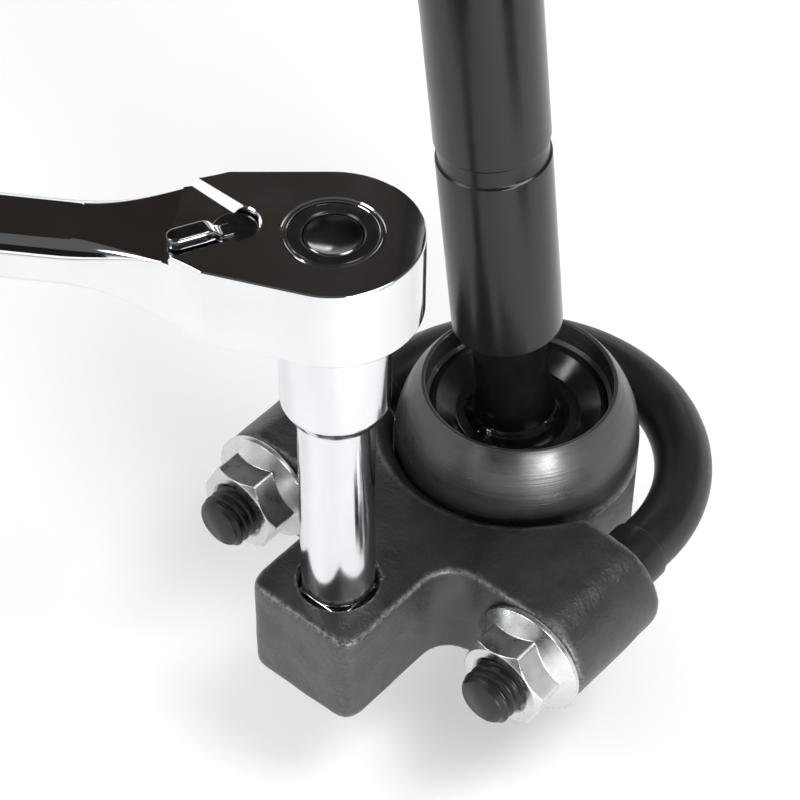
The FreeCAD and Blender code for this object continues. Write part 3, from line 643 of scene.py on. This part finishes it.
def reversing_lever():
    """A disc in its pocket and a raised tab that the thumb moves."""
    disc_top = TOP - 1.25
    disc = lathe("reversing_lever_disc", [(0, -TOP + 2.4), (STEM_R, -TOP + 2.4), (STEM_R, FLOOR - 2.3),
                                          (4.5, FLOOR - 2.3), (4.5, disc_top, 0.5),
                                          (3.4, disc_top - 0.1, 0.8), (0, disc_top - 0.55)],
                 LEVER_PLACE, 96)
    finish_dark = dark_chrome("lever_chrome")
    finished(disc, "lever", ["reversing_lever"], [finish_dark])
    half, end = 2.05, 13.4
    rows = []
    count = 34
    for i in range(count + 1):
        s = 0.8 + (end - 0.8) * math.sin(math.pi / 2 * i / count)
        round_off = math.sqrt(max(1 - (max(s - end + half, 0) / half) ** 2, 0.0))
        w = half * round_off * (0.8 + 0.2 * smooth_step(s, 2.5, 6.5))
        top = disc_top + 0.25 + (TOP + 1.05 - disc_top) * smooth_step(s, 2.6, 5.6)
        top -= 0.5 * (1 - round_off)
        low = FLOOR + 0.35 + 0.3 * (1 - round_off)
        rows.append((s, max(w, 0.02), low, top))
    steps, power = 40, 0.45               # a rounded box in section
    verts = []
    for s, w, low, top in rows:
        mid, deep = (low + top) / 2, (top - low) / 2
        for j in range(steps):
            a = TURN * j / steps
            ca, sa = math.cos(a), math.sin(a)
            verts.append((s * MM, w * math.copysign(abs(ca) ** power, ca) * MM,
                          (mid + deep * math.copysign(abs(sa) ** power, sa)) * MM))
    tab = build("reversing_lever_tab", verts, ring_faces(len(rows), steps), LEVER_PLACE, 60, caps=True)
    return finished(tab, "lever", ["reversing_lever"], [finish_dark])


# ---- the housing and the rod --------------------------------------------------------------------
HOUSING_R = 27.7
BALL_UP = BALL.z / MM
MOUTH_Z = LEG_Z / MM + 26.3
RACE_TOP = LEG_Z / MM + 20.6
MOUTH_R = 20.9
RACE_R = 20.0
SEAT_R = 18.0
FLAT_X = 24.0
FLAT_TOP = 4.5             # above the jaw's middle
BALL_R = 13.5
RACE_BALL_R = 13.55
FINE_PITCH = 1.5           # of the stud and of the rod's far end
STUD_R = 7.0
ROD_END_R = 8.0


def socket_housing():
    flank = []
    top_angle = math.asin((MOUTH_Z - BALL_UP) / HOUSING_R)
    for k in range(41):
        a = top_angle * k / 40
        flank.append((HOUSING_R * math.cos(a), BALL_UP + HOUSING_R * math.sin(a)))
    outline = [(0, 0), (25.2, 0, 0.5), (27.7, 2.0, 0.8)] + flank[:-1] + [
        (flank[-1][0], MOUTH_Z, 0.35), (MOUTH_R, MOUTH_Z, 0.35), (MOUTH_R, RACE_TOP, 0.2),
        (RACE_R, RACE_TOP - 0.6, 0.2), (RACE_R, BALL_UP + 4), (SEAT_R, BALL_UP + 4),
        (SEAT_R, LEG_Z / MM - 9.4), (0, LEG_Z / MM - 9.4)]
    body = lathe("socket_housing_shell", outline, None, 180)
    top = LEG_Z / MM + FLAT_TOP
    flats = []
    for side in (-1, 1):
        near, far = side * FLAT_X, side * 40.0
        low = [(near, -40), (far, -40), (far, 40), (near, 40)]
        step = [(near + side * 1.2, -40), (far, -40), (far, 40), (near + side * 1.2, 40)]
        flats.append(prism("flat", low, low, -3, top, None))
        flats.append(prism("flat_run", low, step, top - 0.01, top + 1.2, None))
    carve(body, flats, sharp=28)
    body.data.materials.append(phosphate())
    body.data.materials.append(blasted_flat_with_painted_sheen())
    # the wrench flats take a lighter finish: partly their blasted surface, partly a painted reflection of the
    # bright surroundings
    for face in body.data.polygons:
        if abs(face.normal.x) > 0.95 and 23.9 * MM < abs(face.center.x) < 24.05 * MM:
            face.material_index = 1
    finished(body, "housing", ["socket_housing"], [])
    stud = thread("rack_stud_thread", Matrix.Rotation(math.pi, 4, "X"), -0.3, -STUD_TIP / MM, STUD_R,
                  FINE_PITCH, 0.8, 0.0, 1.2)
    return finished(stud, "housing", ["socket_housing"], [black_oxide("stud_oxide")])


def ball_race():
    low, high = BALL_UP + 4.05, RACE_TOP - 0.7
    heights = [low + 3.0 - 3.0 * k / 8 for k in range(9)]
    inner = [(math.sqrt(RACE_BALL_R ** 2 - (z - BALL_UP) ** 2), z) for z in heights]
    ring = lathe("ball_race_ring", [(RACE_R, low), (RACE_R, high - 0.15), (19.6, high, 0.2),
                                    (18.4, high, 0.4), (13.9, low + 3.0, 0.8)] + inner,
                 None, 144, closed=True)
    return finished(ring, "housing", ["ball_race"], [greased_steel("race_oil")])


GROOVE_AT = 83.6
GROOVE_WIDE = 4.4
SHANK_R = 12.1
SHANK_LOW = 34.8
SHANK_HIGH = 232.0
NECK_R = 8.2
TAIL_LONG = 46.0


def tie_rod():
    bend = math.asin((NECK_R + 2.0) / BALL_R)
    polar = [math.pi - (math.pi - bend) * k / 40 for k in range(41)]
    outline = [(BALL_R * math.sin(a), BALL_R * math.cos(a)) for a in polar]
    junction = outline[-1][1]
    outline[0] = (0.0, -BALL_R)
    outline += [(NECK_R + 0.9, junction + 0.8, 0.6), (NECK_R, junction + 3.4, 1.5), (NECK_R, SHANK_LOW, 0.5),
                (SHANK_R - 1.3, SHANK_LOW, 0.6), (SHANK_R, SHANK_LOW + 1.6, 1.0), (SHANK_R, GROOVE_AT, 0.3),
                (SHANK_R - 0.55, GROOVE_AT + 0.35, 0.2), (SHANK_R - 0.5, GROOVE_AT + GROOVE_WIDE, 0.2),
                (SHANK_R, GROOVE_AT + GROOVE_WIDE + 0.6, 0.5), (SHANK_R, SHANK_HIGH, 1.0),
                (8.0, SHANK_HIGH + 3, 0.5), (6.9, SHANK_HIGH + 4), (0, SHANK_HIGH + 4)]
    rod = lathe("tie_rod_bar", outline, ROD_PLACE, 160)
    rod.data.materials.append(gloss_paint())
    rod.data.materials.append(greased_steel("neck_oil"))
    turn_back = ROD_PLACE.inverted()
    for face in rod.data.polygons:
        if (turn_back @ face.center).z < (SHANK_LOW - 0.1) * MM:
            face.material_index = 1
    finished(rod, "tie_rod", ["tie_rod"], [])
    tail = thread("rod_end_thread", ROD_PLACE, SHANK_HIGH + 2.9, SHANK_HIGH + TAIL_LONG, ROD_END_R,
                  FINE_PITCH, 0.85, 0.3, 1.2)
    return finished(tail, "tie_rod", ["tie_rod"], [black_oxide("tail_oxide")])


def grease():
    """Grease pushed up where the ball turns in its race: uneven patches that thin out to nothing."""
    inner, outer = 43.0, 68.0             # degrees from the rod's axis
    rows, steps = 30, 220
    verts = []
    for side in (1, 0):
        for i in range(rows):
            share = i / (rows - 1) if side else 1 - i / (rows - 1)
            a = math.radians(inner + (outer - inner) * share)
            for j in range(steps):
                t = TURN * j / steps
                here = Vector((math.sin(a) * math.cos(t), math.sin(a) * math.sin(t), math.cos(a)))
                patch = noise.noise(here * 2.2 + Vector((3, 1, 8)))
                lump = noise.fractal(here * 5.0 + Vector((5, 1, 2)), 0.8, 2.0, 4)
                fade = math.sin(math.pi * share) ** 0.7 * smooth_step(patch, -0.12, 0.25)
                thick = max(0.34 + 0.85 * lump, 0.0) * fade - 0.05
                r = BALL_R + (thick if side else -0.25)
                verts.append(here * r * MM)
    skin = build("ball_grease", verts, ring_faces(2 * rows, steps, True), ROD_PLACE, 80)
    return finished(skin, "tie_rod", [], [wet_grease()])


# ---- materials ----------------------------------------------------------------------------------
def surface(name, dark, light, rough, metallic=0.0, blotch=90.0, grains=(), streak=None, edge=None,
            sockets=None):
    """A procedural finish: colour between dark and light in blotches, roughness in its own patches, and
    bumps as (scale per metre, strength, depth in mm).  A streak is (scale on each axis, strength, depth
    in mm, tint), and an edge is (colour of rubbed edges and painted edge glints, pointiness from and to,
    scale of its specks)."""
    mat = bpy.data.materials.new(name)
    mat.use_nodes = True
    tree = mat.node_tree
    nodes, link = tree.nodes, tree.links.new
    shader = nodes["Principled BSDF"]
    shader.inputs["Metallic"].default_value = metallic
    for socket, value in (sockets or {}).items():
        shader.inputs[socket].default_value = value
    place = nodes.new("ShaderNodeTexCoord")

    def mapped(scale=(1, 1, 1)):
        step = nodes.new("ShaderNodeMapping")
        step.inputs["Scale"].default_value = scale
        link(place.outputs["Object"], step.inputs["Vector"])
        return step.outputs["Vector"]

    def cloud(scale, detail=5.0, rough_noise=0.6, source=None):
        step = nodes.new("ShaderNodeTexNoise")
        step.inputs["Scale"].default_value = scale
        step.inputs["Detail"].default_value = detail
        step.inputs["Roughness"].default_value = rough_noise
        link(source or mapped(), step.inputs["Vector"])
        return step.outputs["Fac"]

    def between(fac, low, high, from_low=0.3, from_high=0.7):
        step = nodes.new("ShaderNodeMapRange")
        step.inputs["From Min"].default_value = from_low
        step.inputs["From Max"].default_value = from_high
        step.inputs["To Min"].default_value = low
        step.inputs["To Max"].default_value = high
        link(fac, step.inputs["Value"])
        return step.outputs["Result"]

    def mix(fac, a, b):
        step = nodes.new("ShaderNodeMix")
        step.data_type = "RGBA"
        link(fac, step.inputs["Factor"])
        for value, socket in ((a, step.inputs["A"]), (b, step.inputs["B"])):
            if isinstance(value, tuple):
                socket.default_value = value + (1.0,)
            else:
                link(value, socket)
        return step.outputs["Result"]

    color = mix(between(cloud(blotch), 0.0, 1.0), dark, light)
    roughness = between(cloud(blotch * 2.3, 4.0), rough[0], rough[1])
    height = None
    for scale, strength, depth in grains:
        bump = nodes.new("ShaderNodeBump")
        bump.inputs["Strength"].default_value = strength
        bump.inputs["Distance"].default_value = depth * MM
        link(cloud(scale, 3.0, 0.55), bump.inputs["Height"])
        if height:
            link(height, bump.inputs["Normal"])
        height = bump.outputs["Normal"]
    if streak:
        stretch, strength, depth, tint = streak
        lines = cloud(1.0, 3.0, 0.7, mapped(stretch))
        bump = nodes.new("ShaderNodeBump")
        bump.inputs["Strength"].default_value = strength
        bump.inputs["Distance"].default_value = depth * MM
        link(lines, bump.inputs["Height"])
        if height:
            link(height, bump.inputs["Normal"])
        height = bump.outputs["Normal"]
        color = mix(between(lines, 0.0, 1.0), color, tint)
    if edge:
        # lighter specks on sharp edges: partly edges rubbed bare, partly painted glints of light along them
        rubbed_and_glint_color, low, high, speck_scale = edge
        point = nodes.new("ShaderNodeNewGeometry")
        rubbed_and_glint_mask = between(point.outputs["Pointiness"], 0.0, 1.0, low, high)
        speck = between(cloud(speck_scale, 2.0, 0.7), 0.0, 1.0, 0.38, 0.62)
        both = nodes.new("ShaderNodeMath")
        both.operation = "MULTIPLY"
        link(rubbed_and_glint_mask, both.inputs[0])
        link(speck, both.inputs[1])
        color = mix(both.outputs["Value"], color, rubbed_and_glint_color)
    link(color, shader.inputs["Base Color"])
    link(roughness, shader.inputs["Roughness"])
    if height:
        link(height, shader.inputs["Normal"])
    return mat


MADE = {}


def once(make):
    """Each finish is made one time, however many pieces share it."""
    def again(*args):
        key = (make.__name__,) + args
        if key not in MADE:
            MADE[key] = make(*args)
        return MADE[key]
    return again


@once
def cast_iron():
    # its lighter edge specks are partly rubbed-through coating, partly painted glints where the rounded edges
    # catch the light
    return surface("cast_iron_black", dark=(0.007, 0.007, 0.0078), light=(0.017, 0.017, 0.018),
                   rough=(0.31, 0.47), blotch=60.0, grains=[(450.0, 0.5, 0.25), (1300.0, 0.7, 0.15)],
                   edge=((0.24, 0.24, 0.245), 0.505, 0.55, 1100.0), sockets={"Specular IOR Level": 0.75})


@once
def black_oxide(name="black_oxide"):
    return surface(name, dark=(0.006, 0.006, 0.0065), light=(0.014, 0.014, 0.015), rough=(0.26, 0.42),
                   blotch=70.0, grains=[(700.0, 0.25, 0.04)], sockets={"Specular IOR Level": 0.35})


@once
def zinc_plate():
    return surface("zinc_plate", dark=(0.52, 0.54, 0.525), light=(0.72, 0.735, 0.73), rough=(0.22, 0.38),
                   metallic=1.0, blotch=130.0, grains=[(500.0, 0.25, 0.03)],
                   streak=((1300.0, 160.0, 1300.0), 0.2, 0.02, (0.585, 0.60, 0.56)))


@once
def bright_chrome():
    return surface("bright_chrome", dark=(0.71, 0.72, 0.735), light=(0.78, 0.79, 0.80), rough=(0.045, 0.085),
                   metallic=1.0, blotch=40.0, grains=[(260.0, 0.05, 0.02), (1400.0, 0.04, 0.006)])


@once
def satin_chrome():
    return surface("satin_chrome", dark=(0.70, 0.715, 0.74), light=(0.78, 0.79, 0.81), rough=(0.10, 0.16),
                   metallic=1.0, blotch=90.0, grains=[(500.0, 0.12, 0.02), (2200.0, 0.1, 0.006)],
                   streak=((900.0, 900.0, 60.0), 0.14, 0.01, (0.72, 0.73, 0.755)))


@once
def dark_chrome(name):
    return surface(name, dark=(0.15, 0.15, 0.155), light=(0.23, 0.23, 0.24), rough=(0.10, 0.17), metallic=1.0,
                   blotch=160.0, grains=[(900.0, 0.12, 0.012), (3600.0, 0.1, 0.005)])


@once
def moulded_black():
    return surface("moulded_black", dark=(0.006, 0.006, 0.0065), light=(0.012, 0.012, 0.013),
                   rough=(0.18, 0.28), blotch=200.0, grains=[(1600.0, 0.2, 0.012), (5200.0, 0.2, 0.006)],
                   sockets={"Specular IOR Level": 0.45})


@once
def satin_steel():
    return surface("satin_steel", dark=(0.50, 0.51, 0.53), light=(0.64, 0.65, 0.67), rough=(0.24, 0.36),
                   metallic=1.0, blotch=150.0, grains=[(1200.0, 0.2, 0.01)],
                   streak=((90.0, 2600.0, 90.0), 0.25, 0.012, (0.56, 0.57, 0.59)))


@once
def spring_wire():
    return surface("spring_wire", dark=(0.34, 0.34, 0.35), light=(0.52, 0.52, 0.53), rough=(0.24, 0.40),
                   metallic=1.0, blotch=400.0, grains=[(2600.0, 0.3, 0.01)])


@once
def bearing_steel():
    return surface("bearing_steel", dark=(0.70, 0.71, 0.73), light=(0.82, 0.83, 0.85), rough=(0.06, 0.12),
                   metallic=1.0, blotch=300.0, grains=[(2400.0, 0.08, 0.004)])


@once
def tool_steel():
    return surface("ground_tool_steel", dark=(0.26, 0.26, 0.27), light=(0.42, 0.42, 0.44), rough=(0.26, 0.42),
                   metallic=1.0, blotch=260.0, grains=[(1800.0, 0.25, 0.01)],
                   streak=((120.0, 3000.0, 120.0), 0.3, 0.012, (0.34, 0.34, 0.36)))


@once
def acetal():
    return surface("moulded_acetal", dark=(0.62, 0.60, 0.52), light=(0.74, 0.72, 0.65), rough=(0.36, 0.50),
                   blotch=120.0, grains=[(900.0, 0.2, 0.02)], sockets={"Subsurface Weight": 0.15})


@once
def phosphate():
    # the rim's lighter edge is partly rubbed through, partly a painted bright line where the rim catches the
    # light
    return surface("machined_phosphate", dark=(0.009, 0.009, 0.009), light=(0.021, 0.020, 0.0195),
                   rough=(0.26, 0.40), blotch=75.0, grains=[(700.0, 0.3, 0.05)],
                   streak=((22.0, 22.0, 1100.0), 0.9, 0.09, (0.024, 0.023, 0.022)),
                   edge=((0.30, 0.29, 0.27), 0.52, 0.60, 900.0), sockets={"Specular IOR Level": 0.8})


@once
def blasted_flat_with_painted_sheen():
    # lighter grey than the phosphate: partly the blasted finish, partly a painted reflection of the bright
    # surroundings on the flats
    return surface("blasted_flat_with_painted_sheen", dark=(0.06, 0.06, 0.06), light=(0.10, 0.10, 0.10), rough=(0.55, 0.70),
                   blotch=200.0, grains=[(2200.0, 0.7, 0.08), (6000.0, 0.5, 0.03)])


@once
def gloss_paint():
    return surface("gloss_black_paint", dark=(0.0035, 0.0035, 0.0038), light=(0.007, 0.007, 0.0075),
                   rough=(0.17, 0.28), blotch=30.0, grains=[(420.0, 0.22, 0.03), (1500.0, 0.15, 0.012)],
                   streak=((260.0, 260.0, 14.0), 0.12, 0.03, (0.006, 0.006, 0.0065)),
                   sockets={"Specular IOR Level": 0.38})


@once
def greased_steel(name):
    return surface(name, dark=(0.0025, 0.0024, 0.0024), light=(0.007, 0.0066, 0.0064), rough=(0.10, 0.24),
                   blotch=110.0, grains=[(300.0, 0.3, 0.05), (1100.0, 0.12, 0.02)],
                   sockets={"Specular IOR Level": 0.55})


@once
def wet_grease():
    return surface("wet_grease", dark=(0.0035, 0.003, 0.003), light=(0.010, 0.009, 0.008), rough=(0.05, 0.14),
                   blotch=220.0, grains=[(520.0, 0.5, 0.12), (1800.0, 0.25, 0.03)],
                   sockets={"Specular IOR Level": 0.8})


def studio_floor():
    return surface("studio_floor", dark=(0.88, 0.88, 0.88), light=(0.92, 0.92, 0.92), rough=(0.55, 0.7),
                   blotch=3.0, grains=[(600.0, 0.05, 0.02)],
                   sockets={"Emission Color": (1.0, 1.0, 1.0, 1.0), "Emission Strength": 0.11})


# ---- the CAD nodes that keep their own shape ----------------------------------------------------
KEPT = {
    "extension_detent_ball": bearing_steel, "extension_detent_spring": spring_wire,
    "ratchet_cover": satin_steel, "cover_screws": tool_steel, "drive_gear": bright_chrome,
    "release_spring": spring_wire, "drive_ball": bearing_steel, "pawl": tool_steel,
    "pawl_plunger": bearing_steel, "pawl_spring": spring_wire, "ball_seat": acetal,
    "preload_spring": spring_wire,
}


def dress_kept_nodes():
    for name, make in KEPT.items():
        node = NODES[name]
        node.data.materials.clear()
        node.data.materials.append(make())
        node.data.shade_smooth()
        node.data.set_sharp_from_angle(angle=math.radians(30))


# ---- the studio ---------------------------------------------------------------------------------
CAMERA_PLACE = (0.2379, -0.3259, 0.4601)
CAMERA_TURNS = (39.89, 46.12, 0.63)      # azimuth, pitch and roll in degrees
LENS = 117.0
DARK_CARD = (0.9, 1.1, 0.62)             # distance, width and height in metres
VIEWER_CARD = (-8, 27, 1.7, 2.2, 1.0)    # turn, height, distance, width, height
FLOOR_REACH = 3.0
SKY_LOW, SKY_HIGH = 1.45, 0.12           # strength near the floor and overhead
BAND_TURNS = (40, 62)                    # the dark patch on the floor: degrees from the camera's compass
BAND_REACH = (0.21, 0.50)
LAMPS = [("right", 69, 64, 1.15, 0.42, 5.0), ("key", 25, 15, 1.1, 0.42, 13.0),
         ("left", -76, 42, 1.2, 0.45, 4.5),
         ("back", 165, 40, 1.3, 0.7, 5.0)]       # turn, height, distance, size, power


def turned_to(obj, target):
    obj.rotation_mode = "QUATERNION"
    obj.rotation_quaternion = (Vector(target) - obj.location).to_track_quat("-Z", "Y")


def camera():
    data = bpy.data.cameras.new("photo_camera")
    data.lens = LENS
    data.sensor_width = 36.0
    data.clip_end = 20.0
    cam = bpy.data.objects.new("photo_camera", data)
    bpy.context.scene.collection.objects.link(cam)
    azimuth, pitch, roll = (math.radians(a) for a in CAMERA_TURNS)
    away = Vector((-math.sin(azimuth) * math.cos(pitch), math.cos(azimuth) * math.cos(pitch),
                   -math.sin(pitch)))
    level = Vector((math.cos(azimuth), math.sin(azimuth), 0))
    upward = level.cross(away)
    right = level * math.cos(roll) + upward * math.sin(roll)
    up = upward * math.cos(roll) - level * math.sin(roll)
    cam.matrix_world = Matrix((right, up, -away)).transposed().to_4x4()
    cam.location = CAMERA_PLACE
    bpy.context.scene.camera = cam
    return away


def area_light(name, place, aim, size, power):
    data = bpy.data.lights.new(name, "AREA")
    data.shape = "RECTANGLE"
    data.size = size
    data.size_y = size
    data.energy = power
    lamp = bpy.data.objects.new(name, data)
    bpy.context.scene.collection.objects.link(lamp)
    lamp.location = place
    turned_to(lamp, aim)
    return lamp


def facing(place, aim, wide, tall):
    """The corners of an upright rectangle that faces a point."""
    forward = (Vector(aim) - Vector(place)).normalized()
    across = forward.cross(Vector((0, 0, 1))).normalized() * wide / 2
    upward = across.normalized().cross(forward) * tall / 2
    return [Vector(place) + across * i + upward * j for i, j in ((-1, -1), (1, -1), (1, 1), (-1, 1))]


def card(name, corners, color):
    """A dark card that only reflections see, as a studio hangs round polished metal."""
    mesh = bpy.data.meshes.new(name)
    mesh.from_pydata([tuple(c) for c in corners], [], [tuple(range(len(corners)))])
    obj = bpy.data.objects.new(name, mesh)
    bpy.context.scene.collection.objects.link(obj)
    mat = bpy.data.materials.new(name)
    mat.use_nodes = True
    nodes = mat.node_tree.nodes
    nodes.clear()
    glow = nodes.new("ShaderNodeEmission")
    glow.inputs["Color"].default_value = color + (1.0,)
    out = nodes.new("ShaderNodeOutputMaterial")
    mat.node_tree.links.new(glow.outputs["Emission"], out.inputs["Surface"])
    mesh.materials.append(mat)
    obj.visible_camera = False
    obj.visible_diffuse = False
    obj.visible_shadow = False
    obj.visible_transmission = False
    return obj


def studio(away):
    scene = bpy.context.scene
    scene.view_settings.view_transform = "Standard"
    world = bpy.data.worlds.new("studio")
    scene.world = world
    world.use_nodes = True
    nodes, link = world.node_tree.nodes, world.node_tree.links.new
    place = nodes.new("ShaderNodeTexCoord")
    parts = nodes.new("ShaderNodeSeparateXYZ")
    fade = nodes.new("ShaderNodeMapRange")
    fade.interpolation_type = "SMOOTHSTEP"
    fade.inputs["From Min"].default_value = 0.05
    fade.inputs["From Max"].default_value = 0.50
    fade.inputs["To Min"].default_value = SKY_LOW
    fade.inputs["To Max"].default_value = SKY_HIGH
    link(place.outputs["Generated"], parts.inputs["Vector"])
    link(parts.outputs["Z"], fade.inputs["Value"])
    link(fade.outputs["Result"], nodes["Background"].inputs["Strength"])
    nodes["Background"].inputs["Color"].default_value = (0.97, 0.985, 1.0, 1.0)
    wide = FLOOR_REACH
    floor = build("floor", [(-wide, -wide, STUD_TIP), (wide, -wide, STUD_TIP), (wide, wide, STUD_TIP),
                            (-wide, wide, STUD_TIP)], [(0, 1, 2, 3)])
    floor.data.materials.append(studio_floor())
    head = Vector((DRIVE.x, DRIVE.y, HEAD_TOP))
    mirrored = Vector((away.x, away.y, -away.z))
    away_by, wide, tall = DARK_CARD
    card("dark_card", facing(head + mirrored * away_by, head, wide, tall), (0.026, 0.021, 0.018))
    viewer = math.atan2(-away.y, -away.x)

    def around(turn, height, distance):
        """A place seen from the clamp, at degrees round from the camera's compass and degrees up."""
        a, h = viewer + math.radians(turn), math.radians(height)
        return Vector((math.cos(a) * math.cos(h), math.sin(a) * math.cos(h), math.sin(h))) * distance + centre

    centre = Vector((0.0, -0.03, 0.05))
    turn, height, distance, wide, tall = VIEWER_CARD
    card("viewer_card", facing(around(turn, height, distance), centre, wide, tall), (0.012, 0.012, 0.013))
    (first, last), (near, far) = BAND_TURNS, BAND_REACH
    band = []
    for turn, reach in ((first, near), (first, far), (last, far), (last, near)):
        a = viewer + math.radians(turn)
        band.append((math.cos(a) * reach, math.sin(a) * reach, STUD_TIP + 0.5 * MM))
    card("floor_band", band, (0.02, 0.02, 0.02))
    for name, turn, height, distance, size, power in LAMPS:
        area_light(name, around(turn, height, distance), centre, size, power)


# ---- the making ---------------------------------------------------------------------------------
AWAY = camera()
dress_kept_nodes()
jaw_casting()
u_bolt()
flange_nut(-1, "left", 5.0)
flange_nut(1, "right", 12.0)
extension_bar()
ratchet_body()
journal_rim()
button_bezel()
release_button()
reversing_lever()
socket_housing()
ball_race()
tie_rod()
grease()
studio(AWAY)
